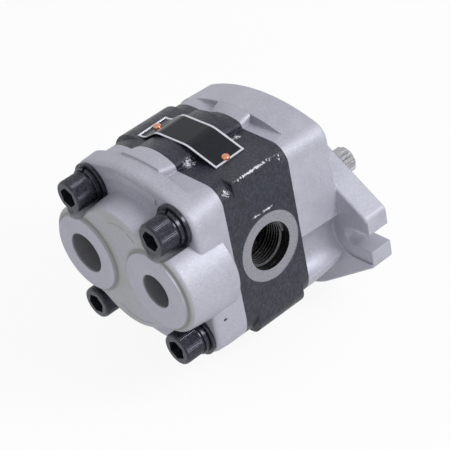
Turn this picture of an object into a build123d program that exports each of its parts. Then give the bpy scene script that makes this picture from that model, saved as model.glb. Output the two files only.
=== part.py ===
from build123d import *
from math import acos, atan, cos, degrees, pi, radians, sin, tan
import os

# External gear pump on a two-bolt flange, in millimetres.
# X runs along the drive shaft and points out of the flange, Z is up, Y is to the side.
# The origin is the centre of the pilot, on the mounting face.

# Stations along the shaft line
flange_thickness = 14.5
front_block_length = 28.1
body_length = 44.8
rear_plate_thickness = 19.6
boss_block_height = 15.5
boss_face_height = 1.7
pilot_height = 6.35
shaft_end_x = 37.3

# Pump section, seen along the shaft
gear_centres = 44.0
half_width = 47.4
flat_height = 48.4
corner_radius = 10.0
low_corner_radius = 17.0
suction_corner_radius = 25.0
arch_rise = 6.8
arch_half_width = 15.5
front_arch_suction_reach = 10.0
front_arch_shift = -5.5
front_arch_drop = 2.3
arch_edge_radius = 3.0
belt_corner_radius = 1.5
belt_low_corner_radius = 8.7
belt_suction_corner_radius = 19.0
belt_rear_margin = 7.7
belt_front_margin = 5.1

# Crowned roofs of the two covers, higher at the joint than at the far end
crown_low_corner_radius = 21.0
crown_rise = 7.0
crown_radius = 115.0
rear_crown_rise = 5.2
rear_crown_radius = 90.0
rear_corner_radius = 15.0
rear_low_corner_radius = 13.0
rear_edge_radius = 2.5
front_joint_crown_rise = 5.8
front_joint_crown_radius = 100.0
front_joint_suction_corner_radius = 22.0
front_crown_shift = -5.5
front_crown_rise = 2.8
front_crown_radius = 112.0
front_suction_corner_radius = 14.0
front_edge_radius = 2.0
front_block_overlap = 0.5
front_low_corner_radius = 20.0
side_draft = 0.5
front_pocket_depth = 7.1
rear_pocket_depth = 10.0

# Mounting flange and pilot
flange_radius = 50.0
ear_reach = 66.5
ear_half_height = 17.4
ear_corner_radius = 4.0
slot_radius = 5.55
slot_centre_y = 53.2
flange_edge_radius = 1.5
spotface_half_width = 13.5
spotface_depth = 0.8
channel_radius_at_flange = 14.0
channel_radius_at_joint = 15.5
pilot_radius = 41.275
pilot_chamfer = 1.0

# Gears
teeth = 11
tooth_pressure_angle = radians(28)
addendum = 3.2
dedendum = 4.3
backlash = 0.2
gear_side_clearance = 0.05
gear_tip_clearance = 0.08
journal_radius = 11.0
journal_clearance = 0.03
journal_end_gap = 1.0
journal_chamfer = 0.6

# Pressure plates and their seals
plate_thickness = 6.35
plate_clearance = 0.04
plate_seal_radius = 16.6
plate_seal_width = 2.2
plate_seal_depth = 2.2
backup_width = 1.2
seal_leg_width = 3.4
seal_leg_reach = 5.0
groove_floor_gap = 0.1

# Bushes
bush_wall = 1.5
front_bush_length = 22.0
rear_bush_length = 16.0

# Body seals
body_seal_radius = 26.6
body_seal_width = 1.8
body_seal_depth = 1.4

# Through bolts and washers
bolt_y = 32.6
bolt_z = 34.5
bolt_radius = 6.0
bolt_hole_clearance = 0.4
bolt_thread_depth = 19.0
bolt_hole_run_out = 2.0
head_radius = 9.0
head_height = 12.0
head_chamfer = 0.8
hex_across_flats = 10.0
hex_depth = 6.0
flat_washer_radius = 11.8
flat_washer_thickness = 2.0
spring_washer_radius = 9.9
spring_washer_thickness = 2.6
washer_clearance = 0.2
washer_split = 1.2
washer_split_angle = 30
head_clearance = 0.6

# Dowel pins
dowel_radius = 4.0
dowel_length = 14.0
dowel_y = 41.0
dowel_z = 18.0

# Ports in the body
port_height = 22.0
port_depth = 17.0
port_mouth_depth = 3.0
port_mouth_step = 1.25
port_face_depth = 0.3
delivery_thread_radius = 12.05
delivery_face_radius = 19.5
delivery_passage_radius = 9.0
suction_thread_radius = 15.15
suction_face_radius = 21.5
suction_passage_radius = 12.0
port_x_shift = 1.8

# Bosses on the rear cover
boss_y = 27.8
boss_lift = 1.8
boss_radius = 21.8
boss_shoulder = 5.2
side_lobe_joint_gap = 3.6
side_lobe_chamfer = 1.0
boss_foot_radius = 1.2
bulge_radius = 36.4
bulge_blend = 10.0
block_taper = 6
block_edge_radius = 2.5
crescent_height = 0.7
crescent_outer_radius = 43.0
crescent_outer_top = 49.5
crescent_inner_radius = 62.0
crescent_inner_top = 45.0
crescent_half_width = 20.5
large_core_radius = 11.6
small_core_radius = 9.6
core_depth = 18.0
core_taper = 1.5

# Shaft, spline and seal
seal_seat_radius = 10.0
neck_radius = 8.6
neck_length = 5.0
spline_teeth = 9
spline_radius = 7.94
spline_root_radius = 6.75
spline_chamfer = 1.0
spline_tip_share = 0.16
spline_foot_share = 0.32
seal_outer_radius = 17.5
seal_width = 8.0
seal_lip_clearance = 0.05
seal_wall = 1.6
seal_lip_height = 4.0
spring_ring_radius = 11.9
spring_wire_radius = 0.7
shaft_bore_radius = 13.5
ring_thickness = 1.5
ring_groove_depth = 0.8
ring_band = 2.6
ring_gap_angle = 36
ring_lug_radius = 2.3
ring_hole_radius = 1.0
ring_inset = 1.6

# Name plate
name_plate_width = 20.0
name_plate_thickness = 0.5
name_plate_left = 27.0
name_plate_right = 31.5
name_plate_fold = 18.5
name_plate_lift = 0.2
name_plate_shoulder_inset = 1.5
name_plate_x = -66.5
screw_head_radius = 2.2
screw_head_height = 1.4
screw_dome_radius = 1.1
screw_shank_radius = 1.2
screw_length = 5.0
left_screw_inset = 3.6
right_screw_inset = 2.4

# Stations and centres that follow from the sizes above
front_joint_x = -(flange_thickness + front_block_length)
rear_joint_x = front_joint_x - body_length
rear_face_x = rear_joint_x - rear_plate_thickness
block_face_x = rear_face_x - boss_block_height
boss_face_x = block_face_x - boss_face_height
middle_z = gear_centres / 2
arch_radius = middle_z + flat_height + arch_rise - gear_centres
rear_arch = (0, gear_centres, arch_half_width)
front_arch = (front_arch_shift, gear_centres - front_arch_drop, front_arch_suction_reach)
pitch_radius = gear_centres / 2
tip_radius = pitch_radius + addendum
gear_bore_radius = tip_radius + gear_tip_clearance
plate_radius = gear_bore_radius - plate_clearance
gear_rear_x = rear_joint_x + plate_thickness + gear_side_clearance
gear_front_x = front_joint_x - plate_thickness - gear_side_clearance
bush_bore_radius = journal_radius + journal_clearance
bush_outer_radius = bush_bore_radius + bush_wall
front_bush_end_x = front_joint_x + front_bush_length
rear_bush_end_x = rear_joint_x - rear_bush_length
seal_bore_floor_x = pilot_height - ring_inset - ring_thickness - seal_width
seal_front_x = seal_bore_floor_x + seal_width
boss_z = middle_z + boss_lift
port_x = (front_joint_x + rear_joint_x) / 2 + port_x_shift
head_seat_x = rear_face_x - flat_washer_thickness - spring_washer_thickness
bolt_tip_x = front_joint_x + bolt_thread_depth
bolt_places = [(y, middle_z + z) for y in (-bolt_y, bolt_y) for z in (-bolt_z, bolt_z)]
dowel_places = [(-dowel_y, middle_z + dowel_z), (dowel_y, middle_z + dowel_z)]


# Small helpers: sections are drawn in the YZ plane, with local x as Y and local y as Z
def prism(section, x_from, x_to, taper=0):
    plane = Plane.YZ.offset(x_from)
    if x_to < x_from:
        plane = Plane(origin=(x_from, 0, 0), x_dir=(0, 1, 0), z_dir=(-1, 0, 0))
        section = mirror(section, Plane.XZ)
    return extrude(plane * section, amount=abs(x_to - x_from), taper=taper)


def disc(y, z, radius, x_from, x_to):
    return prism(Pos(y, z) * Circle(radius), min(x_from, x_to), max(x_from, x_to))


def turned(profile):
    return revolve(make_face(Polyline(*profile, close=True)), Axis.X)


def ring(y, z, outer, inner, x_from, x_to):
    band = Circle(outer) - Circle(inner)
    return prism(Pos(y, z) * band, min(x_from, x_to), max(x_from, x_to))


def figure_eight(radius):
    return Circle(radius) + Pos(0, gear_centres) * Circle(radius)


def racetrack(radius):
    track = Rot(0, 0, 90) * SlotCenterToCenter(gear_centres, 2 * radius)
    return Pos(0, middle_z) * track


# Outlines shared by the covers and the body. The delivery side is -Y, the suction side +Y
def arch_lobes(arch):
    top_y, top_z, suction_reach = arch
    width = arch_half_width + suction_reach
    middle_y = (suction_reach - arch_half_width) / 2
    strip = Pos(middle_y, middle_z) * Rectangle(width, 4 * arch_radius)
    lobes = Circle(arch_radius) + Pos(top_y, top_z) * Circle(arch_radius)
    return lobes & strip, strip


def arch_strip(arch):
    lobes, strip = arch_lobes(arch)
    return fillet(lobes.vertices(), arch_edge_radius)


def side_corners(outline, low_radius, high_radius, suction_radius):
    low_corner = outline.vertices().filter_by(lambda v: v.X < 0).sort_by(Axis.Y)[0]
    outline = fillet(low_corner, low_radius)
    high_corner = outline.vertices().filter_by(lambda v: v.X < 0).sort_by(Axis.Y)[-1]
    outline = fillet(high_corner, high_radius)
    return fillet(outline.vertices().sort_by(Axis.X)[-2:], suction_radius)


def flat_outline():
    block = Pos(0, middle_z) * Rectangle(2 * half_width, 2 * flat_height)
    return side_corners(block, low_corner_radius, corner_radius, suction_corner_radius)


def joint_outline(arch):
    return flat_outline() + arch_strip(arch)


def belt_outline():
    block = Pos(0, middle_z) * Rectangle(2 * half_width, 2 * flat_height)
    block = side_corners(block, belt_low_corner_radius, belt_corner_radius, belt_suction_corner_radius)
    return block + arch_strip(rear_arch)


def crown(rise, radius, shift):
    apex = flat_height + rise
    upper = Pos(shift, middle_z + apex - radius) * Circle(radius)
    lower = Pos(shift, middle_z - apex + radius) * Circle(radius)
    return upper & lower


def crowned_outline(roof, width, low_radius, high_radius, suction_radius):
    walls = Pos(0, middle_z) * Rectangle(2 * width, 4 * flat_height)
    return side_corners(roof & walls, low_radius, high_radius, suction_radius)


def between(x_near, near, x_far, far):
    return loft([Plane.YZ.offset(x_near) * near, Plane.YZ.offset(x_far) * far], ruled=True)


# Beside the joint only a strip as wide as the arch keeps the full height of the roof
def cut_pockets(block, x_joint, x_end, arch, roof):
    around = Pos(0, middle_z) * Rectangle(4 * half_width, 4 * flat_height)
    block -= prism(around - flat_outline(), min(x_joint, x_end), max(x_joint, x_end))
    lobes, strip = arch_lobes(arch)
    rise = between(x_joint, lobes, x_end, roof & strip)
    long_edges = rise.edges().filter_by(lambda e: abs(e.tangent_at(0.5).X) > 0.5)
    return block + fillet(long_edges, arch_edge_radius)


def body_seal_band():
    outer = racetrack(body_seal_radius + body_seal_width / 2)
    inner = racetrack(body_seal_radius - body_seal_width / 2)
    return outer - inner


# Front cover with the mounting flange and the pilot
def flange_outline():
    ear_y = ear_reach - ear_corner_radius
    ear_z = ear_half_height - ear_corner_radius
    ears = [Pos(y, z) * Circle(ear_corner_radius) for y in (-ear_y, ear_y) for z in (-ear_z, ear_z)]
    edges = Circle(flange_radius).edges()
    for ear in ears:
        edges = edges + ear.edges()
    return make_hull(edges)


def slot_outline(side, radius):
    reach = 2 * (ear_reach - slot_centre_y)
    run = Pos(side * (slot_centre_y + reach / 2), 0) * Rectangle(reach, 2 * radius)
    return Pos(side * slot_centre_y, 0) * Circle(radius) + run


def bolt_head_channel(side):
    length = front_block_length
    cone = Cone(channel_radius_at_joint, channel_radius_at_flange, length)
    middle_x = front_joint_x + length / 2
    return Pos(middle_x, side * slot_centre_y, 0) * Rot(0, 90, 0) * cone


def front_block():
    end_x = -flange_thickness + front_block_overlap
    roof = crown(front_joint_crown_rise, front_joint_crown_radius, front_crown_shift)
    suction_radius = front_joint_suction_corner_radius
    near = crowned_outline(roof, half_width, crown_low_corner_radius, corner_radius, suction_radius)
    end_roof = crown(front_crown_rise, front_crown_radius, front_crown_shift)
    end_width = half_width - side_draft
    suction_radius = front_suction_corner_radius
    end = crowned_outline(end_roof, end_width, front_low_corner_radius, corner_radius, suction_radius)
    block = between(front_joint_x, near, end_x, end)
    block = fillet(block.faces().sort_by(Axis.X)[-1].edges(), front_edge_radius)
    block += prism(end & flange_outline(), end_x - 2 * front_edge_radius, end_x)
    pocket_end_x = front_joint_x + front_pocket_depth
    block = cut_pockets(block, front_joint_x, pocket_end_x, front_arch, roof)
    for side in (-1, 1):
        block -= bolt_head_channel(side)
    return block


def make_front_cover():
    flange = prism(flange_outline(), -flange_thickness, 0)
    flange = fillet(flange.faces().sort_by(Axis.X)[0].edges(), flange_edge_radius)
    cover = front_block() + flange
    for side in (-1, 1):
        cover -= prism(slot_outline(side, slot_radius), -2 * flange_thickness, 1)
        recess_x = -flange_thickness + spotface_depth
        cover -= prism(slot_outline(side, spotface_half_width), -flange_thickness - 1, recess_x)
    pilot = disc(0, 0, pilot_radius, -1, pilot_height)
    pilot = chamfer(pilot.faces().sort_by(Axis.X)[-1].edges(), pilot_chamfer)
    cover += pilot
    cover -= disc(0, 0, bush_outer_radius, front_joint_x, front_bush_end_x)
    cover -= disc(0, 0, shaft_bore_radius, front_bush_end_x, seal_bore_floor_x)
    cover -= disc(0, 0, seal_outer_radius, seal_bore_floor_x, pilot_height)
    groove_radius = seal_outer_radius + ring_groove_depth
    cover -= disc(0, 0, groove_radius, seal_front_x, seal_front_x + ring_thickness)
    cover -= disc(0, gear_centres, bush_outer_radius, front_joint_x, front_bush_end_x)
    cover -= prism(body_seal_band(), front_joint_x, front_joint_x + body_seal_depth)
    for y, z in bolt_places:
        cover -= disc(y, z, bolt_radius, front_joint_x, bolt_tip_x + bolt_hole_run_out)
    for y, z in dowel_places:
        cover -= disc(y, z, dowel_radius, front_joint_x, front_joint_x + dowel_length / 2)
    return cover


# Gear body with its two ports
def port_cutter(side, thread_radius, face_radius, passage_radius):
    def bore(radius, y_from, y_to):
        plane = Plane(origin=(port_x, side * y_from, port_height), z_dir=(0, side, 0))
        return extrude(plane * Circle(radius), amount=y_to - y_from)

    outside = half_width + 1
    cutter = bore(face_radius, half_width - port_face_depth, outside)
    cutter += bore(thread_radius + port_mouth_step, half_width - port_mouth_depth, outside)
    cutter += bore(thread_radius, half_width - port_depth, outside)
    cutter += bore(passage_radius, 0, half_width)
    return cutter


def make_gear_body():
    middle_x = (rear_joint_x + front_joint_x) / 2
    body = prism(joint_outline(rear_arch), rear_joint_x, middle_x)
    body += prism(joint_outline(front_arch), middle_x, front_joint_x)
    body += prism(belt_outline(), rear_joint_x + belt_rear_margin, front_joint_x - belt_front_margin)
    body -= prism(figure_eight(gear_bore_radius), rear_joint_x, front_joint_x)
    body -= port_cutter(-1, delivery_thread_radius, delivery_face_radius, delivery_passage_radius)
    body -= port_cutter(1, suction_thread_radius, suction_face_radius, suction_passage_radius)
    for y, z in bolt_places:
        body -= disc(y, z, bolt_radius + bolt_hole_clearance, rear_joint_x, front_joint_x)
    for y, z in dowel_places:
        body -= disc(y, z, dowel_radius, front_joint_x - dowel_length / 2, front_joint_x)
        body -= disc(y, z, dowel_radius, rear_joint_x, rear_joint_x + dowel_length / 2)
    for side in (-1, 1):
        body -= screw_hole_in_body(side)
    return body


# Rear cover with the boss block and its two cored bosses
def boss_block_outline():
    lobe_radius = boss_radius + boss_shoulder
    lobes = Pos(-boss_y, boss_z) * Circle(lobe_radius) + Pos(boss_y, boss_z) * Circle(lobe_radius)
    outline = lobes + Pos(0, boss_z) * Circle(bulge_radius)
    return fillet(outline.vertices(), bulge_blend)


# The lobe of each boss runs on along the side of the plate and ends short of the joint
def side_lobe(side):
    end_x = rear_joint_x - side_lobe_joint_gap
    lobe = disc(side * boss_y, boss_z, boss_radius + boss_shoulder, rear_face_x, end_x)
    return chamfer(lobe.faces().sort_by(Axis.X)[-1].edges(), side_lobe_chamfer)


def is_boss_foot(edge):
    at_block_face = abs(edge.center().X - block_face_x) < 0.01
    return at_block_face and abs(edge.radius - boss_radius) < 0.01


# Low crescent-shaped pad between the two upper bolts
def crescent_pad():
    outer = Pos(0, middle_z + crescent_outer_top - crescent_outer_radius) * Circle(crescent_outer_radius)
    inner = Pos(0, middle_z + crescent_inner_top - crescent_inner_radius) * Circle(crescent_inner_radius)
    reach = Pos(0, middle_z + flat_height) * Rectangle(2 * crescent_half_width, 2 * flat_height)
    return prism((outer - inner) & reach, rear_face_x - crescent_height, rear_face_x + 1)


def make_rear_cover():
    roof = crown(crown_rise, crown_radius, 0)
    radius = suction_corner_radius
    near = crowned_outline(roof, half_width, crown_low_corner_radius, corner_radius, radius)
    end_roof = crown(rear_crown_rise, rear_crown_radius, 0)
    end_width = half_width - side_draft
    radius = rear_corner_radius
    end = crowned_outline(end_roof, end_width, rear_low_corner_radius, radius, radius)
    plate = between(rear_joint_x, near, rear_face_x, end)
    plate = fillet(plate.faces().sort_by(Axis.X)[0].edges(), rear_edge_radius)
    plate = cut_pockets(plate, rear_joint_x, rear_joint_x - rear_pocket_depth, rear_arch, roof)
    block = prism(boss_block_outline(), rear_face_x, block_face_x, taper=block_taper)
    block = fillet(block.faces().sort_by(Axis.X)[0].edges(), block_edge_radius)
    cover = plate + block + crescent_pad()
    for side in (-1, 1):
        cover += side_lobe(side)
        cover += disc(side * boss_y, boss_z, boss_radius, boss_face_x, block_face_x + 1)
    foot = cover.edges().filter_by(GeomType.CIRCLE).filter_by(is_boss_foot)
    cover = fillet(foot, boss_foot_radius)
    for y, z in bolt_places:
        clearance = flat_washer_radius + head_clearance
        cover -= disc(y, z, clearance, boss_face_x - 1, rear_face_x)
        cover -= disc(y, z, bolt_radius + bolt_hole_clearance, rear_face_x, rear_joint_x)
    for side, radius in ((-1, small_core_radius), (1, large_core_radius)):
        core = Pos(side * boss_y, boss_z) * Circle(radius)
        cover -= prism(core, boss_face_x, boss_face_x + core_depth, taper=core_taper)
    for z in (0, gear_centres):
        cover -= disc(0, z, bush_outer_radius, rear_bush_end_x, rear_joint_x)
    cover -= prism(body_seal_band(), rear_joint_x - body_seal_depth, rear_joint_x)
    for y, z in dowel_places:
        cover -= disc(y, z, dowel_radius, rear_joint_x - dowel_length / 2, rear_joint_x)
    return cover


# Involute gears
def involute(angle):
    return tan(angle) - angle


def polar(radius, angle):
    return (radius * cos(angle), radius * sin(angle))


def gear_outline():
    base_radius = pitch_radius * cos(tooth_pressure_angle)
    root_radius = pitch_radius - dedendum
    thickness = pi * pitch_radius / teeth - backlash
    base_half_angle = thickness / (2 * pitch_radius) + involute(tooth_pressure_angle)
    steps = 5
    radii = [base_radius + (tip_radius - base_radius) * i / steps for i in range(steps + 1)]
    flank = [(r, base_half_angle - involute(acos(min(1, base_radius / r)))) for r in radii]
    tip_half_angle = flank[-1][1]
    pitch_angle = 2 * pi / teeth
    edges = []
    for i in range(teeth):
        middle = pi / 2 + i * pitch_angle
        following = middle + pitch_angle
        rise = [polar(r, middle - a) for r, a in flank]
        fall = [polar(r, middle + a) for r, a in reversed(flank)]
        foot_in = polar(root_radius, middle - base_half_angle)
        foot_out = polar(root_radius, middle + base_half_angle)
        next_foot = polar(root_radius, following - base_half_angle)
        valley = polar(root_radius, middle + pitch_angle / 2)
        edges.append(Line(foot_in, rise[0]))
        edges.append(Spline(*rise))
        edges.append(ThreePointArc(rise[-1], polar(tip_radius, middle), fall[0]))
        edges.append(Spline(*fall))
        edges.append(Line(fall[-1], foot_out))
        edges.append(ThreePointArc(foot_out, valley, next_foot))
    return make_face(edges)


def journal(x_gear, x_end):
    step = journal_chamfer if x_end > x_gear else -journal_chamfer
    profile = [
        (x_gear, 0),
        (x_gear, journal_radius),
        (x_end - step, journal_radius),
        (x_end, journal_radius - journal_chamfer),
        (x_end, 0),
    ]
    return turned(profile)


def spline_outline():
    pitch_angle = 2 * pi / spline_teeth
    points = []
    for i in range(spline_teeth):
        middle = pi / 2 + i * pitch_angle
        points.append(polar(spline_root_radius, middle - spline_foot_share * pitch_angle))
        points.append(polar(spline_radius, middle - spline_tip_share * pitch_angle))
        points.append(polar(spline_radius, middle + spline_tip_share * pitch_angle))
        points.append(polar(spline_root_radius, middle + spline_foot_share * pitch_angle))
    return make_face(Polyline(*points, close=True))


def make_drive_gear_shaft():
    gear = prism(gear_outline(), gear_rear_x, gear_front_x)
    rear_end = rear_bush_end_x + journal_end_gap
    seat_start = front_bush_end_x - journal_end_gap
    shaft = gear + journal(gear_rear_x, rear_end) + journal(gear_front_x, seat_start)
    neck_x = pilot_height
    spline_x = neck_x + neck_length
    nose = [
        (seat_start, 0),
        (seat_start, seal_seat_radius),
        (neck_x - spline_chamfer, seal_seat_radius),
        (neck_x, neck_radius),
        (spline_x, neck_radius),
        (spline_x + spline_chamfer, spline_root_radius),
        (spline_x + spline_chamfer, 0),
    ]
    shaft += turned(nose)
    tip = prism(spline_outline(), spline_x, shaft_end_x)
    bevel = [
        (spline_x - 1, 0),
        (spline_x - 1, 2 * spline_radius),
        (shaft_end_x - spline_chamfer - spline_radius, 2 * spline_radius),
        (shaft_end_x, spline_radius - spline_chamfer),
        (shaft_end_x, 0),
    ]
    return shaft + (tip & turned(bevel))


def make_idler_gear():
    gear = prism(gear_outline(), gear_rear_x, gear_front_x)
    rear_end = rear_bush_end_x + journal_end_gap
    front_end = front_bush_end_x - journal_end_gap
    idler = gear + journal(gear_rear_x, rear_end) + journal(gear_front_x, front_end)
    return Pos(0, 0, gear_centres) * idler


# Bushes
def make_bush(z, x_from, x_to):
    return ring(0, z, bush_outer_radius, bush_bore_radius, x_from, x_to)


# Pressure plates: the seal lies on the outside of a three-shaped groove, its backup inside
def three_band(inner, outer):
    lower = Circle(outer) - Circle(inner)
    upper = Pos(0, gear_centres) * (Circle(outer) - Circle(inner))
    keep = Pos(-outer, middle_z) * Rectangle(2 * outer, gear_centres + 4 * outer)
    return (lower + upper) & keep


def seal_outline():
    outer = plate_seal_radius + plate_seal_width
    band = three_band(plate_seal_radius, outer)
    leg_z = plate_seal_radius + plate_seal_width / 2
    for z in (-leg_z, gear_centres + leg_z):
        band += Pos(seal_leg_reach / 2, z) * Rectangle(seal_leg_reach, plate_seal_width)
    bridge_height = gear_centres - 2 * plate_seal_radius
    bridge = Pos(-plate_seal_width / 2, middle_z) * Rectangle(plate_seal_width, bridge_height)
    return band + bridge


def backup_outline():
    inner = plate_seal_radius - backup_width
    return three_band(inner, plate_seal_radius)


def plate_groove_floor(x_cover, inward):
    return x_cover + inward * (plate_seal_depth + groove_floor_gap)


def make_pressure_plate(x_cover, inward):
    x_gear = x_cover + inward * plate_thickness
    low, high = min(x_cover, x_gear), max(x_cover, x_gear)
    plate = prism(figure_eight(plate_radius), low, high)
    for z in (0, gear_centres):
        plate -= disc(0, z, bush_bore_radius, low, high)
    floor = plate_groove_floor(x_cover, inward)
    plate -= prism(seal_outline() + backup_outline(), min(x_cover, floor), max(x_cover, floor))
    return plate


def make_plate_seal(outline, x_cover, inward):
    x_end = x_cover + inward * plate_seal_depth
    return prism(outline, min(x_cover, x_end), max(x_cover, x_end))


def make_body_seal(x_joint, outward):
    x_end = x_joint + outward * body_seal_depth
    return prism(body_seal_band(), min(x_joint, x_end), max(x_joint, x_end))


# Shaft seal, its garter spring and the ring that holds it
def make_shaft_seal():
    lip_radius = seal_seat_radius + seal_lip_clearance
    lip_x = seal_bore_floor_x + seal_lip_height
    spring_x = seal_bore_floor_x + seal_lip_height / 2
    web_x = seal_front_x - seal_wall
    profile = [
        (seal_bore_floor_x, seal_outer_radius - seal_wall),
        (seal_bore_floor_x, seal_outer_radius),
        (seal_front_x, seal_outer_radius),
        (seal_front_x, lip_radius + seal_wall),
        (lip_x, lip_radius),
        (seal_bore_floor_x, lip_radius + seal_wall / 2),
        (seal_bore_floor_x, spring_ring_radius),
        (web_x, spring_ring_radius + spring_wire_radius),
        (web_x, seal_outer_radius - seal_wall),
    ]
    groove = Pos(spring_x, 0, 0) * Rot(0, 90, 0) * Torus(spring_ring_radius, spring_wire_radius)
    return turned(profile) - groove


def make_garter_spring():
    spring_x = seal_bore_floor_x + seal_lip_height / 2
    return Pos(spring_x, 0, 0) * Rot(0, 90, 0) * Torus(spring_ring_radius, spring_wire_radius)


def make_retaining_ring():
    outer = seal_outer_radius + ring_groove_depth
    inner = outer - ring_band
    band = Circle(outer) - Circle(inner)
    half_gap = radians(ring_gap_angle / 2)
    reach = 2 * outer
    wedge = make_face(Polyline((0, 0), polar(reach, half_gap), polar(reach, -half_gap), close=True))
    band -= wedge
    lug_circle = inner - ring_lug_radius / 2
    for side in (-1, 1):
        lug_angle = side * (half_gap + ring_lug_radius / lug_circle)
        y, z = polar(lug_circle, lug_angle)
        band += Pos(y, z) * Circle(ring_lug_radius)
        band -= Pos(y, z) * Circle(ring_hole_radius)
    band &= Circle(outer)
    return prism(Rot(0, 0, 90) * band, seal_front_x, seal_front_x + ring_thickness)


# Fasteners
def socket_bolt(y, z):
    head_end_x = head_seat_x - head_height
    profile = [
        (head_end_x, 0),
        (head_end_x, head_radius - head_chamfer),
        (head_end_x + head_chamfer, head_radius),
        (head_seat_x, head_radius),
        (head_seat_x, bolt_radius),
        (bolt_tip_x - head_chamfer, bolt_radius),
        (bolt_tip_x, bolt_radius - head_chamfer),
        (bolt_tip_x, 0),
    ]
    bolt = turned(profile)
    hexagon = RegularPolygon(hex_across_flats / 2, 6, major_radius=False)
    bolt -= prism(hexagon, head_end_x, head_end_x + hex_depth)
    return Pos(0, y, z) * bolt


def spring_washer(y, z):
    x_from = rear_face_x - flat_washer_thickness
    washer = ring(0, 0, spring_washer_radius, bolt_radius + washer_clearance, head_seat_x, x_from)
    middle_x = (x_from + head_seat_x) / 2
    slit = Box(3 * spring_washer_thickness, washer_split, spring_washer_radius)
    washer -= Pos(middle_x, 0, spring_washer_radius) * Rot(0, 0, washer_split_angle) * slit
    return Pos(0, y, z) * washer


def flat_washer(y, z):
    x_from = rear_face_x - flat_washer_thickness
    return ring(y, z, flat_washer_radius, bolt_radius + washer_clearance, x_from, rear_face_x)


def dowel(y, z, x_joint):
    half = dowel_length / 2
    return disc(y, z, dowel_radius, x_joint - half, x_joint + half)


# Name plate, bent over the arch, and its two drive screws
def name_plate_shoulder():
    y = arch_half_width - name_plate_shoulder_inset
    radius = arch_radius + name_plate_lift
    return y, gear_centres + (radius ** 2 - y ** 2) ** 0.5


def name_plate_sheet():
    seat = middle_z + flat_height
    crown_top = gear_centres + arch_radius + name_plate_lift
    y, z = name_plate_shoulder()
    tab = Line((name_plate_left, seat), (name_plate_fold, seat))
    rise = Line((name_plate_fold, seat), (y, z))
    crown = ThreePointArc((y, z), (0, crown_top), (-y, z))
    drop = Line((-y, z), (-name_plate_right, seat))
    wire = Wire(tab.edges() + rise.edges() + crown.edges() + drop.edges())
    lifted = Pos(0, name_plate_thickness) * wire
    ends = Line(wire @ 0, lifted @ 0).edges() + Line(wire @ 1, lifted @ 1).edges()
    return make_face(wire.edges() + lifted.edges() + ends)


def make_name_plate():
    x_from = name_plate_x - name_plate_width / 2
    plate = prism(name_plate_sheet(), x_from, x_from + name_plate_width)
    for side in (-1, 1):
        plate -= screw_location(side) * screw_hole()
    return plate


# A screw stands on the sheet's upper side, square to it
def screw_location(side):
    seat = middle_z + flat_height
    if side > 0:
        return Pos(name_plate_x, name_plate_left - left_screw_inset, seat + name_plate_thickness)
    y, z = name_plate_shoulder()
    slope = (z - seat) / (name_plate_right - y)
    top = seat + name_plate_thickness + right_screw_inset * slope
    return Pos(name_plate_x, right_screw_inset - name_plate_right, top) * Rot(degrees(atan(slope)), 0, 0)


def screw_hole():
    return Pos(0, 0, -screw_length) * extrude(Circle(screw_shank_radius), 2 * screw_length)


def plate_screw(side):
    dome = extrude(Circle(screw_head_radius), screw_head_height)
    dome = fillet(dome.edges().sort_by(Axis.Z)[-1], screw_dome_radius)
    shank = Pos(0, 0, -screw_length) * extrude(Circle(screw_shank_radius), screw_length)
    return screw_location(side) * (dome + shank)


def screw_hole_in_body(side):
    return screw_location(side) * Pos(0, 0, -screw_length) * extrude(Circle(screw_shank_radius), screw_length)


def group(pieces):
    return Compound(children=list(pieces))


parts = {
    "front_cover": make_front_cover(),
    "gear_body": make_gear_body(),
    "rear_cover": make_rear_cover(),
    "drive_gear_shaft": make_drive_gear_shaft(),
    "idler_gear": make_idler_gear(),
    "front_pressure_plate": make_pressure_plate(front_joint_x, -1),
    "rear_pressure_plate": make_pressure_plate(rear_joint_x, 1),
    "front_plate_seal": make_plate_seal(seal_outline(), front_joint_x, -1),
    "rear_plate_seal": make_plate_seal(seal_outline(), rear_joint_x, 1),
    "front_plate_backup_ring": make_plate_seal(backup_outline(), front_joint_x, -1),
    "rear_plate_backup_ring": make_plate_seal(backup_outline(), rear_joint_x, 1),
    "front_drive_bush": make_bush(0, front_joint_x, front_bush_end_x),
    "front_idler_bush": make_bush(gear_centres, front_joint_x, front_bush_end_x),
    "rear_drive_bush": make_bush(0, rear_bush_end_x, rear_joint_x),
    "rear_idler_bush": make_bush(gear_centres, rear_bush_end_x, rear_joint_x),
    "front_body_seal": make_body_seal(front_joint_x, 1),
    "rear_body_seal": make_body_seal(rear_joint_x, -1),
    "shaft_seal": make_shaft_seal(),
    "seal_garter_spring": make_garter_spring(),
    "seal_retaining_ring": make_retaining_ring(),
    "cover_bolts": group(socket_bolt(y, z) for y, z in bolt_places),
    "spring_washers": group(spring_washer(y, z) for y, z in bolt_places),
    "flat_washers": group(flat_washer(y, z) for y, z in bolt_places),
    "front_dowel_pins": group(dowel(y, z, front_joint_x) for y, z in dowel_places),
    "rear_dowel_pins": group(dowel(y, z, rear_joint_x) for y, z in dowel_places),
    "name_plate": make_name_plate(),
    "name_plate_screws": group(plate_screw(side) for side in (-1, 1)),
}

os.makedirs("parts", exist_ok=True)
for node, shape in parts.items():
    export_step(shape, f"parts/{node}.step")
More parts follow.
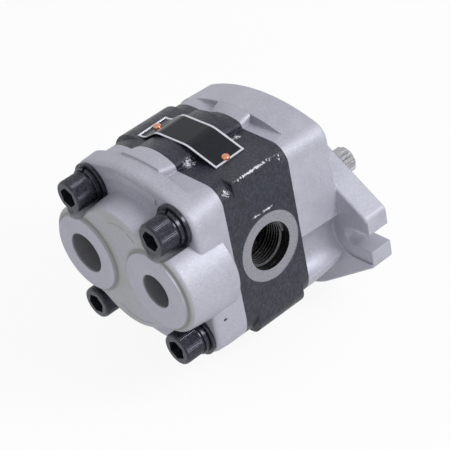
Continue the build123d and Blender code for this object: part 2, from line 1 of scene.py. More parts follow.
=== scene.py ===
import bpy
import math
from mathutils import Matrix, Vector


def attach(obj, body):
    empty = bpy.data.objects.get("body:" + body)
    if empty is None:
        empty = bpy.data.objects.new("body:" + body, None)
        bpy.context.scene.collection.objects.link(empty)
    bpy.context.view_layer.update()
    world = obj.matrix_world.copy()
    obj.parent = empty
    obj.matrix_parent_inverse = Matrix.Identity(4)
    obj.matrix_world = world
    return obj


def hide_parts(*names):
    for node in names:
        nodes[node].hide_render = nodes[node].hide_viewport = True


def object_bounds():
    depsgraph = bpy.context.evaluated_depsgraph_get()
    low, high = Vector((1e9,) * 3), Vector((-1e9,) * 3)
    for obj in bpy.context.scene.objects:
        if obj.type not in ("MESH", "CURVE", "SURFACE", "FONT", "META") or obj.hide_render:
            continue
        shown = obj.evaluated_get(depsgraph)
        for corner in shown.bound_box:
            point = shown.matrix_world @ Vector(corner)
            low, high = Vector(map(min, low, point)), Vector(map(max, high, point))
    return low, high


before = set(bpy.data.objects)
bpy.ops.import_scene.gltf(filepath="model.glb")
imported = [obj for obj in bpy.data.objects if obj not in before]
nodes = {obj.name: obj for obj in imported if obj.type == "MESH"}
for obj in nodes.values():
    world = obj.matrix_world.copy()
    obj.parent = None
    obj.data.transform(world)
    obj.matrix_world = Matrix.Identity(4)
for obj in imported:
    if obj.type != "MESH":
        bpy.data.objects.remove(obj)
cadLow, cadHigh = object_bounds()
print("frame loaded:", len(nodes), "nodes")

# camera, where the photograph was taken from
cameraSetup = {
    "place": (-0.50213, -0.61860, 0.54439),
    "turn": (54.436, 9.708, -42.779),   # degrees
    "lens": 140.905,
    "sensor": 36.0,
}


def addCamera():
    c = cameraSetup
    bpy.ops.object.camera_add(location=c["place"], rotation=[math.radians(a) for a in c["turn"]])
    camera = bpy.context.object
    camera.name = "photoCamera"
    camera.data.lens = c["lens"]
    camera.data.sensor_width = c["sensor"]
    camera.data.clip_start = 0.01
    camera.data.clip_end = 20
    bpy.context.scene.camera = camera


addCamera()
print("camera set")

# stage: one pale floor, a soft key lamp from the right, a weak fill and an even world
stage = {
    "floorSize": 6.0,
    "floorDrop": 0.0003,
    "floorColor": (0.90, 0.90, 0.91),
    "floorWhite": 0.90,                 # share of plain white that the camera sees in the floor
    "keyPlace": (0.40, -1.05, 0.88), "keySize": 0.60, "keyPower": 12.0,
    "fillPlace": (-1.35, -0.45, 0.75), "fillSize": 0.9, "fillPower": 2.0,
    "worldStrength": 0.53,
}


def newMaterial(name):
    material = bpy.data.materials.new(name)
    material.use_nodes = True
    tree = material.node_tree
    return material, tree, tree.nodes["Principled BSDF"]


def seenDirectly(tree):
    # camera, mirror and glass rays meet the white of the studio
    path = tree.nodes.new("ShaderNodeLightPath")
    either = tree.nodes.new("ShaderNodeMath")
    either.operation = "MAXIMUM"
    tree.links.new(path.outputs["Is Camera Ray"], either.inputs[0])
    tree.links.new(path.outputs["Is Glossy Ray"], either.inputs[1])
    last = tree.nodes.new("ShaderNodeMath")
    last.operation = "MAXIMUM"
    tree.links.new(either.outputs[0], last.inputs[0])
    tree.links.new(path.outputs["Is Transmission Ray"], last.inputs[1])
    return last.outputs[0]


def addWorld():
    world = bpy.data.worlds.new("studio")
    bpy.context.scene.world = world
    world.use_nodes = True
    tree = world.node_tree
    even = tree.nodes["Background"]
    even.inputs["Color"].default_value = (1, 1, 1, 1)
    even.inputs["Strength"].default_value = stage["worldStrength"]
    white = tree.nodes.new("ShaderNodeBackground")
    white.inputs["Color"].default_value = (1, 1, 1, 1)
    white.inputs["Strength"].default_value = 1.0
    mix = tree.nodes.new("ShaderNodeMixShader")
    tree.links.new(seenDirectly(tree), mix.inputs[0])
    tree.links.new(even.outputs[0], mix.inputs[1])
    tree.links.new(white.outputs[0], mix.inputs[2])
    tree.links.new(mix.outputs[0], tree.nodes["World Output"].inputs["Surface"])


def addFloor():
    bpy.ops.mesh.primitive_plane_add(size=stage["floorSize"], location=(0, 0, cadLow.z - stage["floorDrop"]))
    floor = bpy.context.object
    floor.name = "floor"
    material, tree, shader = newMaterial("paleFloor")
    shader.inputs["Base Color"].default_value = (*stage["floorColor"], 1)
    shader.inputs["Roughness"].default_value = 0.9
    shader.inputs["Specular IOR Level"].default_value = 0.1
    white = tree.nodes.new("ShaderNodeEmission")
    white.inputs["Strength"].default_value = 1.0
    share = tree.nodes.new("ShaderNodeMath")
    share.operation = "MULTIPLY"
    share.inputs[1].default_value = stage["floorWhite"]
    tree.links.new(seenDirectly(tree), share.inputs[0])
    mix = tree.nodes.new("ShaderNodeMixShader")
    tree.links.new(share.outputs[0], mix.inputs[0])
    tree.links.new(shader.outputs[0], mix.inputs[1])
    tree.links.new(white.outputs[0], mix.inputs[2])
    tree.links.new(mix.outputs[0], tree.nodes["Material Output"].inputs["Surface"])
    floor.data.materials.append(material)


def addLamp(name, place, size, power):
    aim = (cadLow + cadHigh) / 2
    bpy.ops.object.light_add(type="AREA", location=place)
    lamp = bpy.context.object
    lamp.name = name
    lamp.data.shape = "DISK"
    lamp.data.size = size
    lamp.data.energy = power
    lamp.rotation_euler = (aim - Vector(place)).to_track_quat("-Z", "Y").to_euler()


addWorld()
addFloor()
for lampName in ("key", "fill"):
    addLamp(lampName, stage[lampName + "Place"], stage[lampName + "Size"], stage[lampName + "Power"])
print("stage set")


# small helpers for material nodes; every pattern reads Object coordinates, in metres
def objectPlace(tree):
    return tree.nodes.new("ShaderNodeTexCoord").outputs["Object"]


def placeAxes(tree, place):
    apart = tree.nodes.new("ShaderNodeSeparateXYZ")
    tree.links.new(place, apart.inputs[0])
    return apart.outputs


def noise(tree, place, grain, detail=3.0, rough=0.55, distortion=0.0):
    # grain is the size of one blotch in metres
    node = tree.nodes.new("ShaderNodeTexNoise")
    node.inputs["Scale"].default_value = 1.0 / grain
    node.inputs["Detail"].default_value = detail
    node.inputs["Roughness"].default_value = rough
    node.inputs["Distortion"].default_value = distortion
    tree.links.new(place, node.inputs["Vector"])
    return node.outputs["Fac"]


def ramp(tree, value, low, high, lowOut=0.0, highOut=1.0):
    node = tree.nodes.new("ShaderNodeMapRange")
    node.inputs["From Min"].default_value = low
    node.inputs["From Max"].default_value = high
    node.inputs["To Min"].default_value = lowOut
    node.inputs["To Max"].default_value = highOut
    tree.links.new(value, node.inputs["Value"])
    return node.outputs["Result"]


def arithmetic(tree, operation, first, second=None):
    node = tree.nodes.new("ShaderNodeMath")
    node.operation = operation
    for socket, value in zip(node.inputs, (first, second)):
        if value is None:
            continue
        if isinstance(value, (int, float)):
            socket.default_value = value
        else:
            tree.links.new(value, socket)
    return node.outputs[0]


def mixColor(tree, factor, first, second):
    node = tree.nodes.new("ShaderNodeMix")
    node.data_type = "RGBA"
    if isinstance(factor, (int, float)):
        node.inputs[0].default_value = factor
    else:
        tree.links.new(factor, node.inputs[0])
    for socket, value in ((node.inputs[6], first), (node.inputs[7], second)):
        if isinstance(value, tuple):
            socket.default_value = (*value, 1)
        else:
            tree.links.new(value, socket)
    return node.outputs[2]


def softCorners(tree, radius):
    # shades sharp cast edges as if they were rounded
    node = tree.nodes.new("ShaderNodeBevel")
    node.samples = 6
    node.inputs["Radius"].default_value = radius
    return node.outputs["Normal"]


def bump(tree, height, distance, strength=1.0, under=None):
    node = tree.nodes.new("ShaderNodeBump")
    node.inputs["Distance"].default_value = distance
    node.inputs["Strength"].default_value = strength
    tree.links.new(height, node.inputs["Height"])
    if under is not None:
        tree.links.new(under, node.inputs["Normal"])
    return node.outputs["Normal"]


def spotDistance(tree, place, middle, reach):
    # 0 in the middle of a spot, 1 at its rim
    moved = tree.nodes.new("ShaderNodeVectorMath")
    moved.operation = "SUBTRACT"
    tree.links.new(place, moved.inputs[0])
    moved.inputs[1].default_value = middle
    scaled = tree.nodes.new("ShaderNodeVectorMath")
    scaled.operation = "DIVIDE"
    tree.links.new(moved.outputs[0], scaled.inputs[0])
    scaled.inputs[1].default_value = reach
    length = tree.nodes.new("ShaderNodeVectorMath")
    length.operation = "LENGTH"
    tree.links.new(scaled.outputs[0], length.inputs[0])
    return length.outputs["Value"]


def nearestSpot(tree, place, spots):
    nearest = None
    for middle, reach in spots:
        distance = spotDistance(tree, place, middle, reach)
        nearest = distance if nearest is None else arithmetic(tree, "MINIMUM", nearest, distance)
    return nearest


# cast aluminium of the two covers: sandy skin, faint cloudy patches, satin shine
castAluminium = {
    "light": (0.47, 0.475, 0.545),
    "dark": (0.33, 0.335, 0.395),
    "sparkle": (0.58, 0.585, 0.65),
    "metallic": 0.35,
    "roughness": (0.44, 0.60),
    "sandGrain": 0.0011, "sandDepth": 0.00020,
    "wave": 0.008, "waveDepth": 0.00012,
    "patch": 0.016,
    "corner": 0.0008,
    "faceX": (-0.1229, -0.1216),        # the face between the bosses
    "bossPlaces": ((0, -0.0278, 0.0238), (0, 0.0278, 0.0238)),
    "bossReach": (1000, 0.0230, 0.0230),
    "coreMouth": -0.1240, "coreFloor": -0.1010,     # the cored holes of the bosses lie between
    "cores": (
        ((0, -0.0278, 0.0238), (1000, 0.0099, 0.0099)),
        ((0, 0.0278, 0.0238), (1000, 0.0119, 0.0119)),
    ),
    # painted shade for the inside of the cored holes
    "coreShadeColor": (0.17, 0.17, 0.18),
    # olive dirt tone, darkened as painted shade for the grooves round the feet of the bosses
    "grimeAndShade": (0.20, 0.205, 0.185),
    "stain": (0.33, 0.345, 0.31),
    # near-black painted shade inside the pits, which are sunk only by bump
    "pitShadeColor": (0.03, 0.03, 0.035), "pitDepth": 0.0004,
    # middle and half size of each pit on the side of the rear cover
    "pits": (
        ((-0.1062, -0.0547, 0.0316), (0.0008, 0.0010, 0.0010)),
        ((-0.1001, -0.0474, -0.0014), (0.0014, 0.0012, 0.0009)),
    ),
}


def aluminiumMaterial():
    v = castAluminium
    material, tree, shader = newMaterial("castAluminium")
    place = objectPlace(tree)
    axes = placeAxes(tree, place)
    patches = noise(tree, place, v["patch"], 4.0, 0.6)
    sand = noise(tree, place, v["sandGrain"], 3.0, 0.7)
    tone = arithmetic(tree, "ADD", ramp(tree, patches, 0.3, 0.7, 0.1, 0.6),
                      ramp(tree, sand, 0.35, 0.65, 0.0, 0.4))
    color = mixColor(tree, tone, v["dark"], v["light"])
    color = mixColor(tree, ramp(tree, sand, 0.62, 0.80), color, v["sparkle"])
    # old oil that dried on the face between the bosses, and painted shade with an olive dirt tone in the
    # grooves round their feet
    farther, nearer = v["faceX"]
    onFace = arithmetic(tree, "MULTIPLY", ramp(tree, axes[0], farther - 0.0007, farther),
                        ramp(tree, axes[0], nearer + 0.0008, nearer))
    oily = arithmetic(tree, "MULTIPLY", onFace, ramp(tree, patches, 0.35, 0.65, 0.15, 0.65))
    color = mixColor(tree, oily, color, v["stain"])
    # painted shade in the grooves round the feet of the bosses, on the face between them
    foot = nearestSpot(tree, place, [(middle, v["bossReach"]) for middle in v["bossPlaces"]])
    grooveShade = arithmetic(tree, "MULTIPLY", ramp(tree, foot, 0.93, 0.96),
                        ramp(tree, foot, 1.06, 1.0, 0.0, 0.75))
    color = mixColor(tree, arithmetic(tree, "MULTIPLY", grooveShade, onFace), color, v["grimeAndShade"])
    # painted shade: a darker tone inside the cored holes, between their mouth and floor, where shade falls
    beyondMouth = arithmetic(tree, "MULTIPLY", ramp(tree, axes[0], v["coreMouth"], v["coreMouth"] + 0.0015),
                             ramp(tree, axes[0], v["coreFloor"], v["coreFloor"] - 0.0010))
    inCoreShade = arithmetic(tree, "MULTIPLY", beyondMouth,
                        ramp(tree, nearestSpot(tree, place, v["cores"]), 1.0, 0.99, 0.0, 0.8))
    color = mixColor(tree, inCoreShade, color, v["coreShadeColor"])
    # painted shade: each pit is coloured near black for the shade in its hollow
    pit = ramp(tree, nearestSpot(tree, place, v["pits"]), 1.0, 0.7)
    color = mixColor(tree, pit, color, v["pitShadeColor"])
    tree.links.new(color, shader.inputs["Base Color"])
    tree.links.new(ramp(tree, patches, 0.3, 0.7, *v["roughness"]), shader.inputs["Roughness"])
    shader.inputs["Metallic"].default_value = v["metallic"]
    wave = bump(tree, noise(tree, place, v["wave"], 2.0), v["waveDepth"], 0.35,
                softCorners(tree, v["corner"]))
    sandy = bump(tree, sand, v["sandDepth"], 0.7, wave)
    sunk = arithmetic(tree, "MULTIPLY", pit, -1.0)
    tree.links.new(bump(tree, sunk, v["pitDepth"], 1.0, sandy), shader.inputs["Normal"])
    return material


# iron body under glossy black paint, rough as the sand left it, chipped at its edges, with painted
# highlights along the upper edge of the belt
castIron = {
    "paint": (0.008, 0.010, 0.019),
    "dust": (0.031, 0.036, 0.060),
    "roughness": (0.26, 0.44),
    "grain": 0.0013, "grainDepth": 0.00090, "grainTurn": 42, "grainStretch": 0.70,
    "lump": 0.005, "lumpDepth": 0.0006,
    "corner": 0.0009,
    "chipAndGlintColor": (0.62, 0.625, 0.69), "chipAndGlintGrain": 0.0013, "chipAndGlintDepth": 0.0002,
    # middle and half size of each place where the paint is chipped, or where a highlight is painted as bare
    # metal
    "chipsAndGlints": (
        # painted highlight: the glints of the key lamp on the glossy rounded edge of the belt and its ends,
        # drawn as bright bare metal
        ((-0.0640, -0.0470, 0.0700), (0.0170, 0.0011, 0.0011)),   # along the upper edge of the belt
        ((-0.0478, -0.0470, 0.0675), (0.0016, 0.0016, 0.0034)),
        ((-0.0835, -0.0462, 0.0665), (0.0022, 0.0026, 0.0034)),
        ((-0.0500, -0.0190, 0.0712), (0.0034, 0.0030, 0.0022)),   # at the foot of the arch
        ((-0.0800, -0.0165, 0.0712), (0.0044, 0.0036, 0.0030)),
        ((-0.0690, -0.0474, 0.0441), (0.0042, 0.0012, 0.0010)),   # above the port face
        ((-0.0610, -0.0474, 0.0440), (0.0040, 0.0012, 0.0009)),
    ),
}


def ironMaterial():
    v = castIron
    material, tree, shader = newMaterial("blackCastIron")
    place = objectPlace(tree)
    turned = tree.nodes.new("ShaderNodeMapping")
    turned.inputs["Rotation"].default_value = (0, math.radians(v["grainTurn"]), 0)
    turned.inputs["Scale"].default_value = (1.0, 1.0, v["grainStretch"])
    tree.links.new(place, turned.inputs["Vector"])
    grain = noise(tree, turned.outputs[0], v["grain"], 3.0, 0.6)
    lumps = noise(tree, place, v["lump"], 2.0)
    color = mixColor(tree, ramp(tree, grain, 0.42, 0.72), v["paint"], v["dust"])
    # bare-metal chips, and painted highlights where the edge of the belt catches the lamp
    distance = nearestSpot(tree, place, v["chipsAndGlints"])
    broken = noise(tree, place, v["chipAndGlintGrain"], 4.0, 0.7)
    needed = ramp(tree, distance, 0.0, 2.0, 0.33, 0.86)
    chipsAndGlints = ramp(tree, arithmetic(tree, "SUBTRACT", broken, needed), 0.0, 0.04)
    color = mixColor(tree, chipsAndGlints, color, v["chipAndGlintColor"])
    tree.links.new(color, shader.inputs["Base Color"])
    tree.links.new(ramp(tree, lumps, 0.3, 0.7, *v["roughness"]), shader.inputs["Roughness"])
    shader.inputs["Specular IOR Level"].default_value = 0.4
    lumpy = bump(tree, lumps, v["lumpDepth"], 0.4, softCorners(tree, v["corner"]))
    grainy = bump(tree, grain, v["grainDepth"], 0.7, lumpy)
    sunk = arithmetic(tree, "MULTIPLY", chipsAndGlints, -1.0)
    tree.links.new(bump(tree, sunk, v["chipAndGlintDepth"], 1.0, grainy), shader.inputs["Normal"])
    return material


def metalMaterial(name, light, dark, roughness, metallic, grain, depth):
    material, tree, shader = newMaterial(name)
    place = objectPlace(tree)
    clouds = noise(tree, place, grain, 3.0)
    tree.links.new(mixColor(tree, ramp(tree, clouds, 0.35, 0.65), dark, light), shader.inputs["Base Color"])
    tree.links.new(ramp(tree, clouds, 0.3, 0.7, *roughness), shader.inputs["Roughness"])
    shader.inputs["Metallic"].default_value = metallic
    tree.links.new(bump(tree, clouds, depth, 0.4), shader.inputs["Normal"])
    return material


# plain finishes: light, dark, roughness, metallic, grain and depth of the surface
finishes = {
    "blackOxideSteel": ((0.040, 0.044, 0.062), (0.015, 0.017, 0.025), (0.16, 0.30), 0.50, 0.0015, 0.00004),
    # painted shade: a darker copy of the machined iron, for the threads and the walls of the port bores
    "shadedThreadIron": ((0.12, 0.12, 0.125), (0.05, 0.05, 0.055), (0.16, 0.28), 0.9, 0.0008, 0.00004),
    "plateBorder": ((0.70, 0.71, 0.77), (0.56, 0.57, 0.64), (0.26, 0.36), 0.5, 0.0010, 0.00002),
    "shaftSteel": ((0.42, 0.42, 0.44), (0.33, 0.33, 0.35), (0.16, 0.28), 1.0, 0.0012, 0.00003),
    "groundSteel": ((0.62, 0.62, 0.64), (0.46, 0.46, 0.49), (0.16, 0.30), 1.0, 0.0012, 0.00003),
    "copperScrew": ((0.72, 0.34, 0.22), (0.50, 0.20, 0.12), (0.25, 0.40), 0.85, 0.0009, 0.00005),
    "plateAlloy": ((0.50, 0.46, 0.38), (0.40, 0.36, 0.30), (0.28, 0.40), 0.9, 0.0015, 0.00003),
    "bushBronze": ((0.50, 0.33, 0.14), (0.38, 0.24, 0.10), (0.25, 0.40), 0.9, 0.0012, 0.00003),
    "springSteel": ((0.30, 0.30, 0.33), (0.20, 0.20, 0.22), (0.25, 0.40), 0.9, 0.0010, 0.00003),
    "dowelSteel": ((0.48, 0.48, 0.50), (0.38, 0.38, 0.40), (0.18, 0.30), 1.0, 0.0010, 0.00002),
    "nitrileRubber": ((0.016, 0.016, 0.018), (0.008, 0.008, 0.009), (0.50, 0.65), 0.0, 0.0012, 0.00005),
    "backupPlastic": ((0.78, 0.77, 0.72), (0.70, 0.69, 0.63), (0.40, 0.55), 0.0, 0.0015, 0.00003),
    "machinedIron": ((0.36, 0.36, 0.40), (0.22, 0.22, 0.25), (0.28, 0.45), 0.75, 0.0008, 0.00004),
    "plateBlack": ((0.009, 0.010, 0.017), (0.006, 0.007, 0.011), (0.14, 0.22), 0.0, 0.0030, 0.00001),
}
materials = {name: metalMaterial(name, *values) for name, values in finishes.items()}
materials["plateBlack"].node_tree.nodes["Principled BSDF"].inputs["Specular IOR Level"].default_value = 0.2
materials["castAluminium"] = aluminiumMaterial()
materials["blackCastIron"] = ironMaterial()

# finish of each CAD node that stays
nodeFinish = {
    "castAluminium": ("front_cover", "rear_cover"),
    "groundSteel": ("idler_gear",),
    "plateAlloy": ("front_pressure_plate", "rear_pressure_plate"),
    "nitrileRubber": (
        "front_plate_seal", "rear_plate_seal", "front_body_seal", "rear_body_seal", "shaft_seal",
    ),
    "backupPlastic": ("front_plate_backup_ring", "rear_plate_backup_ring"),
    "bushBronze": ("front_drive_bush", "front_idler_bush", "rear_drive_bush", "rear_idler_bush"),
    "springSteel": ("seal_garter_spring", "seal_retaining_ring"),
    "dowelSteel": ("front_dowel_pins", "rear_dowel_pins"),
    "copperScrew": ("name_plate_screws",),
}


def dressNodes():
    for finish, names in nodeFinish.items():
        for name in names:
            for slot in nodes[name].material_slots:
                slot.material = materials[finish]


dressNodes()
print("CAD nodes dressed")


# modelling helpers
def deselectAll():
    bpy.ops.object.select_all(action="DESELECT")


def makeActive(piece):
    deselectAll()
    bpy.context.view_layer.objects.active = piece
    piece.select_set(True)


def editMode(on=True):
    bpy.ops.object.mode_set(mode="EDIT" if on else "OBJECT")


def selectFaces(piece, wanted):
    # faces chosen by their middle and normal; leaves the piece in edit mode
    editMode()
    bpy.ops.mesh.select_mode(type="FACE")
    bpy.ops.mesh.select_all(action="DESELECT")
    editMode(False)
    for face in piece.data.polygons:
        face.select = wanted(face.center, face.normal)
    editMode()


def selectVertices(piece, wanted):
    editMode()
    bpy.ops.mesh.select_mode(type="VERT")
    bpy.ops.mesh.select_all(action="DESELECT")
    editMode(False)
    for vertex in piece.data.vertices:
        vertex.select = wanted(vertex.co)
    editMode()


def selectEdges(piece, wanted):
    # edges chosen by their two ends
    editMode()
    bpy.ops.mesh.select_mode(type="EDGE")
    bpy.ops.mesh.select_all(action="DESELECT")
    editMode(False)
    points = piece.data.vertices
    for edge in piece.data.edges:
        first, second = edge.vertices
        edge.select = wanted(points[first].co, points[second].co)
    editMode()


def applyModifiers(piece):
    makeActive(piece)
    for modifier in list(piece.modifiers):
        bpy.ops.object.modifier_apply(modifier=modifier.name)


def settle(piece):
    # place, turn and size go into the mesh, and all faces point outwards
    makeActive(piece)
    bpy.ops.object.transform_apply(location=True, rotation=True, scale=True)
    editMode()
    bpy.ops.mesh.select_all(action="SELECT")
    bpy.ops.mesh.remove_doubles(threshold=1e-7)
    bpy.ops.mesh.normals_make_consistent(inside=False)
    editMode(False)


def softenEdges(piece, width, segments=2, angle=35):
    # small rounded edges, with flat faces that still shade flat
    makeActive(piece)
    bpy.ops.object.shade_smooth_by_angle(angle=math.radians(angle))
    rounding = piece.modifiers.new("rounding", "BEVEL")
    rounding.width = width
    rounding.segments = segments
    rounding.limit_method = "ANGLE"
    rounding.angle_limit = math.radians(angle)
    rounding.use_clamp_overlap = False
    rounding.loop_slide = False
    weighting = piece.modifiers.new("weighting", "WEIGHTED_NORMAL")
    weighting.keep_sharp = True
    applyModifiers(piece)


def shadeByAngle(piece, angle):
    # smooth over small angles, while large flat faces stay flat
    makeActive(piece)
    bpy.ops.object.shade_smooth_by_angle(angle=math.radians(angle))
    weighting = piece.modifiers.new("weighting", "WEIGHTED_NORMAL")
    weighting.keep_sharp = True
    applyModifiers(piece)


def mergedCopy(nodeName, pieceName, flatten=False):
    # a copy of a CAD node with its loose triangles joined, and its flat faces whole if wanted
    piece = bpy.data.objects.new(pieceName, nodes[nodeName].data.copy())
    piece.data.name = pieceName
    bpy.context.collection.objects.link(piece)
    makeActive(piece)
    bpy.ops.mesh.customdata_custom_splitnormals_clear()
    editMode()
    bpy.ops.mesh.select_all(action="SELECT")
    bpy.ops.mesh.remove_doubles(threshold=1e-6)
    if flatten:
        bpy.ops.mesh.dissolve_limited(angle_limit=math.radians(0.3))
    editMode(False)
    return piece


def finishPiece(piece, finish, body, *replaced):
    piece.data.materials.clear()
    piece.data.materials.append(materials[finish])
    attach(piece, body)
    if replaced:
        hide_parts(*replaced)


def addFinish(piece, finish, wanted):
    # a second finish on the faces that are wanted
    piece.data.materials.append(materials[finish])
    index = len(piece.data.materials) - 1
    for face in piece.data.polygons:
        if wanted(face.center, face.normal):
            face.material_index = index


# gear body: painted casting with bare port faces, and bores wide enough for the threads
ports = {
    "faceTolerance": 0.0002, "boreFloor": 0.024, "boreMargin": 0.0003, "rootMargin": 0.0005,
    "threadSink": 0.0001, "threadFoot": 0.9, "threadTip": 0.28, "threadSmoothAngle": 30,
    "x": -0.0632, "z": 0.022,
    "delivery": {"side": -1, "crest": 0.01205, "root": 0.01320, "face": 0.0195, "pitch": 0.001814},
    "suction": {"side": 1, "crest": 0.01515, "root": 0.01660, "face": 0.0215, "pitch": 0.002309},
    "threadTop": 0.0444, "threadFloor": 0.0304,
    "faceDepth": 0.0471,
    "smoothAngle": 35,
    "stepsPerTurn": 48,
}


def fromPortAxis(place):
    return math.hypot(place.x - ports["x"], place.z - ports["z"])


def widenBore(body, port):
    def onWall(place):
        deep = ports["threadFloor"] - 0.0001 < place.y * port["side"] < ports["threadTop"] + 0.0001
        return deep and abs(fromPortAxis(place) - port["crest"]) < 0.0001
    selectVertices(body, onWall)
    wider = port["root"] / port["crest"]
    bpy.ops.transform.resize(value=(wider, 1, wider), center_override=(ports["x"], 0, ports["z"]))
    editMode(False)


def makeGearBody():
    body = mergedCopy("gear_body", "gearBodyCasting")
    for name in ("delivery", "suction"):
        widenBore(body, ports[name])
    shadeByAngle(body, ports["smoothAngle"])
    finishPiece(body, "blackCastIron", "housing", "gear_body")
    for name in ("delivery", "suction"):
        port = ports[name]
        addFinish(body, "machinedIron", lambda middle, normal: (
            abs(middle.y * port["side"] - ports["faceDepth"]) < ports["faceTolerance"]
            and fromPortAxis(middle) < port["face"]))
        # the bore walls take the darker copy of the machined iron, as painted shade in the bores
        addFinish(body, "shadedThreadIron", lambda middle, normal: (
            ports["boreFloor"] < middle.y * port["side"] < ports["faceDepth"] - ports["boreMargin"]
            and fromPortAxis(middle) < port["root"] + ports["rootMargin"]))


def makeThread(name):
    # a trapezoid section wound round the axis of the port
    port = ports[name]
    depth = port["root"] - port["crest"] + ports["threadSink"]
    start = port["side"] * ports["threadFloor"]
    deselectAll()
    bpy.ops.mesh.primitive_plane_add(size=1, location=(ports["x"], start, ports["z"]))
    thread = bpy.context.object
    thread.name = name + "PortThread"
    editMode()
    bpy.ops.mesh.select_all(action="SELECT")
    bpy.ops.transform.resize(value=(depth, port["pitch"] * ports["threadFoot"], 1))
    middle = port["crest"] + depth / 2
    bpy.ops.transform.translate(value=(middle, port["side"] * port["pitch"] / 2, 0))
    editMode(False)
    selectVertices(thread, lambda place: place.x < middle)
    bpy.ops.transform.resize(value=(1, ports["threadTip"], 1), center_override=(
        ports["x"] + port["crest"], start + port["side"] * port["pitch"] / 2, ports["z"]))
    bpy.ops.mesh.select_all(action="SELECT")
    bpy.ops.mesh.delete(type="ONLY_FACE")
    editMode(False)
    turns = math.floor((ports["threadTop"] - ports["threadFloor"]) / port["pitch"]) - 1
    winding = thread.modifiers.new("winding", "SCREW")
    winding.axis = "Y"
    winding.angle = 2 * math.pi * turns
    winding.screw_offset = port["side"] * port["pitch"] * turns
    winding.steps = winding.render_steps = ports["stepsPerTurn"] * turns
    applyModifiers(thread)
    editMode()
    bpy.ops.mesh.select_all(action="SELECT")
    bpy.ops.mesh.fill_holes(sides=4)
    editMode(False)
    settle(thread)
    bpy.ops.object.shade_smooth_by_angle(angle=math.radians(ports["threadSmoothAngle"]))
    finishPiece(thread, "shadedThreadIron", "housing")


makeGearBody()
makeThread("delivery")
makeThread("suction")
print("gear body and port threads made")

# socket head bolts with knurled heads
bolt = {
    "places": ((-0.0326, 0.0565, 8), (0.0326, 0.0565, 21), (-0.0326, -0.0125, 34), (0.0326, -0.0125, 50)),
    "seat": -0.1116, "headHeight": 0.012, "headRadius": 0.009, "chamfer": 0.0009,
    "shankRadius": 0.006, "tip": -0.0236,
    "knurls": 60, "rows": 10, "knurlHeight": 0.00022, "plainBand": 0.0012,
    "acrossFlats": 0.010, "socketDepth": 0.006,
}


def makeHead():
    v = bolt
    deselectAll()
    bpy.ops.mesh.primitive_cylinder_add(vertices=v["knurls"], radius=v["headRadius"] - v["knurlHeight"],
                                        depth=v["headHeight"], rotation=(0, math.pi / 2, 0),
                                        location=(v["seat"] - v["headHeight"] / 2, 0, 0))
    head = bpy.context.object
    bpy.ops.object.transform_apply(location=True, rotation=True, scale=True)
    end = v["seat"] - v["headHeight"]
    # shank
    selectFaces(head, lambda middle, normal: normal.x > 0.9)
    bpy.ops.mesh.inset(thickness=v["headRadius"] - v["knurlHeight"] - v["shankRadius"])
    bpy.ops.mesh.extrude_region_move(TRANSFORM_OT_translate={"value": (v["tip"] - v["seat"], 0, 0)})
    bpy.ops.transform.resize(value=(1, 0.86, 0.86))
    editMode(False)
    # chamfered rim of the head
    selectEdges(head, lambda a, b: a.x < end + 0.0001 and b.x < end + 0.0001)
    bpy.ops.mesh.bevel(offset=v["chamfer"], segments=2, profile=0.5, affect="EDGES")
    editMode(False)
    # rows of the knurl
    selectEdges(head, lambda a, b: abs(a.x - b.x) > 0.008 and abs(a.x - b.x) < 0.02)
    bpy.ops.mesh.subdivide(number_cuts=v["rows"])
    editMode(False)
    lowest = end + v["chamfer"] + v["plainBand"] * 0.2
    selectFaces(head, lambda middle, normal: abs(normal.x) < 0.1
                and lowest < middle.x < v["seat"] - v["plainBand"]
                and math.hypot(middle.y, middle.z) > v["headRadius"] - 0.0006)
    bpy.ops.mesh.poke(offset=v["knurlHeight"])
    editMode(False)
    return head


def cutSocket(head):
    v = bolt
    deselectAll()
    bpy.ops.mesh.primitive_cylinder_add(vertices=6, radius=v["acrossFlats"] / math.sqrt(3),
                                        depth=2 * v["socketDepth"], rotation=(0, math.pi / 2, 0),
                                        location=(v["seat"] - v["headHeight"], 0, 0))
    cutter = bpy.context.object
    editMode()
    bpy.ops.mesh.select_all(action="SELECT")
    bpy.ops.mesh.bevel(offset=0.0003, segments=1, affect="EDGES")
    editMode(False)
    cut = head.modifiers.new("socket", "BOOLEAN")
    cut.operation = "DIFFERENCE"
    cut.solver = "EXACT"
    cut.object = cutter
    applyModifiers(head)
    bpy.data.objects.remove(cutter)


def makeBolts():
    head = makeHead()
    cutSocket(head)
    settle(head)
    bpy.ops.object.shade_smooth_by_angle(angle=math.radians(20))
    head.name = "coverBolt1"
    pieces = [head]
    for i in range(2, len(bolt["places"]) + 1):
        piece = bpy.data.objects.new("coverBolt" + str(i), head.data.copy())
        bpy.context.collection.objects.link(piece)
        pieces.append(piece)
    for piece, (y, z, turn) in zip(pieces, bolt["places"]):
        piece.location = (0, y, z)
        piece.rotation_euler = (math.radians(turn), 0, 0)
        makeActive(piece)
        bpy.ops.object.transform_apply(location=True, rotation=True, scale=True)
        finishPiece(piece, "blackOxideSteel", "housing", "cover_bolts")


makeBolts()
print("bolts made")

# washers: the CAD rings with soft rims
washers = {
    "flat_washers": {"name": "flatWashers", "rim": 0.00035},
    "spring_washers": {"name": "springWashers", "rim": 0.00025},
}


def makeWashers():
    for node, v in washers.items():
        piece = mergedCopy(node, v["name"], flatten=True)
        softenEdges(piece, v["rim"])
        finishPiece(piece, "blackOxideSteel", "housing", node)


makeWashers()
print("washers made")

# name plate: a stiff sheet bent over the arch, with a bright border and a bare black field
plate = {
    "x": -0.0665, "width": 0.020,
    "left": (0.0270, 0.0709),
    # y and z of the upper side along the sheet, from its left end
    "bends": ((0.0220, 0.0709), (0.0116, 0.0777), (-0.0113, 0.0777), (-0.0312, 0.0709)),
    "bendLength": 0.0028, "bendSteps": 6,
    "turn": 2.2,                        # degrees, as it was riveted a little askew
    "thickness": 0.00045, "border": 0.0010, "fieldDepth": 0.00012, "fieldEdge": 0.0001,
    "smoothAngle": 25,
}


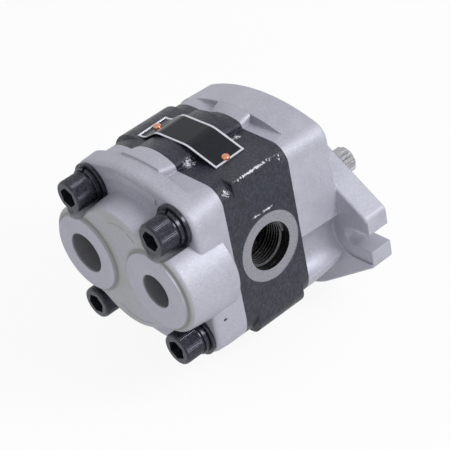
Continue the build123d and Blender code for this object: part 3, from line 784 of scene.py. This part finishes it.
def makeNamePlate():
    v = plate
    y, z = v["left"]
    deselectAll()
    bpy.ops.mesh.primitive_plane_add(size=v["width"], location=(v["x"], y + v["width"] / 2, z))
    sheet = bpy.context.object
    sheet.name = "namePlateSheet"
    bpy.ops.object.transform_apply(location=True, rotation=True, scale=True)
    # the lower edge of the plane is pulled along the bends, and the plane itself goes
    selectVertices(sheet, lambda place: place.y > y + 0.001)
    bpy.ops.mesh.delete(type="VERT")
    bpy.ops.mesh.select_all(action="SELECT")
    for nextY, nextZ in v["bends"]:
        bpy.ops.mesh.extrude_edges_move(TRANSFORM_OT_translate={"value": (0, nextY - y, nextZ - z)})
        y, z = nextY, nextZ
    editMode(False)
    lowest, highest = v["bends"][-1][0], v["left"][0]
    selectEdges(sheet, lambda a, b: abs(a.y - b.y) < 1e-6 and lowest + 0.001 < a.y < highest - 0.001)
    bpy.ops.mesh.bevel(offset=v["bendLength"], segments=v["bendSteps"], profile=0.5, affect="EDGES")
    bpy.ops.mesh.select_all(action="SELECT")
    bpy.ops.transform.rotate(value=-math.radians(v["turn"]), orient_axis="Z", center_override=(v["x"], 0, 0))
    bpy.ops.mesh.normals_make_consistent(inside=False)
    editMode(False)
    if sum(face.normal.z for face in sheet.data.polygons) < 0:
        editMode()
        bpy.ops.mesh.flip_normals()
        editMode(False)
    body = sheet.modifiers.new("body", "SOLIDIFY")
    body.thickness = v["thickness"]
    body.offset = -1
    applyModifiers(sheet)
    selectFaces(sheet, lambda middle, normal: normal.z > 0.3)
    bpy.ops.mesh.inset(thickness=v["border"], depth=0)
    bpy.ops.mesh.inset(thickness=v["fieldEdge"], depth=-v["fieldDepth"])
    editMode(False)
    field = [face.index for face in sheet.data.polygons if face.select]
    finishPiece(sheet, "plateBorder", "housing", "name_plate")
    sheet.data.materials.append(materials["plateBlack"])
    for index in field:
        sheet.data.polygons[index].material_index = 1
    shadeByAngle(sheet, v["smoothAngle"])



makeNamePlate()
print("name plate made")

# drive shaft: the CAD gear and spline with broken edges
shaft = {"edge": 0.00018}


def makeShaft():
    piece = mergedCopy("drive_gear_shaft", "splinedDriveShaft", flatten=True)
    softenEdges(piece, shaft["edge"])
    finishPiece(piece, "shaftSteel", "drive_shaft", "drive_gear_shaft")


makeShaft()
print("shaft made")

# thin cast ribs on the rear face between the bosses
faceRibs = {
    "x": -0.1225, "width": 0.00045, "height": 0.6, "steps": 24, "smoothAngle": 60,
    # middle y and z, radius, first and last angle in degrees
    "arcs": (
        (-0.0045, 0.0377, 0.0160, 63, 111),
        (-0.0045, 0.0377, 0.0152, 117, 139),
        (-0.0038, 0.0193, 0.0257, -116, -57),
    ),
}


def makeRib(index, y, z, radius, first, last):
    v = faceRibs
    deselectAll()
    start = (v["x"], y, z + radius)
    middle = (v["x"], y, z)
    bpy.ops.mesh.primitive_circle_add(vertices=8, radius=v["width"], fill_type="NGON", location=start)
    rib = bpy.context.object
    rib.name = "castRib" + str(index)
    bpy.ops.object.transform_apply(location=True, rotation=True, scale=True)
    editMode()
    bpy.ops.mesh.select_all(action="SELECT")
    bpy.ops.transform.rotate(value=math.radians(90), orient_axis="X", center_override=start)
    bpy.ops.mesh.spin(steps=v["steps"], angle=math.radians(first - last), center=middle, axis=(1, 0, 0))
    bpy.ops.mesh.select_all(action="SELECT")
    bpy.ops.transform.rotate(value=math.radians(90 - first), orient_axis="X", center_override=middle)
    bpy.ops.transform.resize(value=(v["height"], 1, 1), center_override=middle)
    editMode(False)
    settle(rib)
    bpy.ops.object.shade_smooth_by_angle(angle=math.radians(v["smoothAngle"]))
    finishPiece(rib, "castAluminium", "housing")


for i, arc in enumerate(faceRibs["arcs"]):
    makeRib(i + 1, *arc)
print("cast ribs made")

bpy.context.scene.view_settings.view_transform = "Standard"
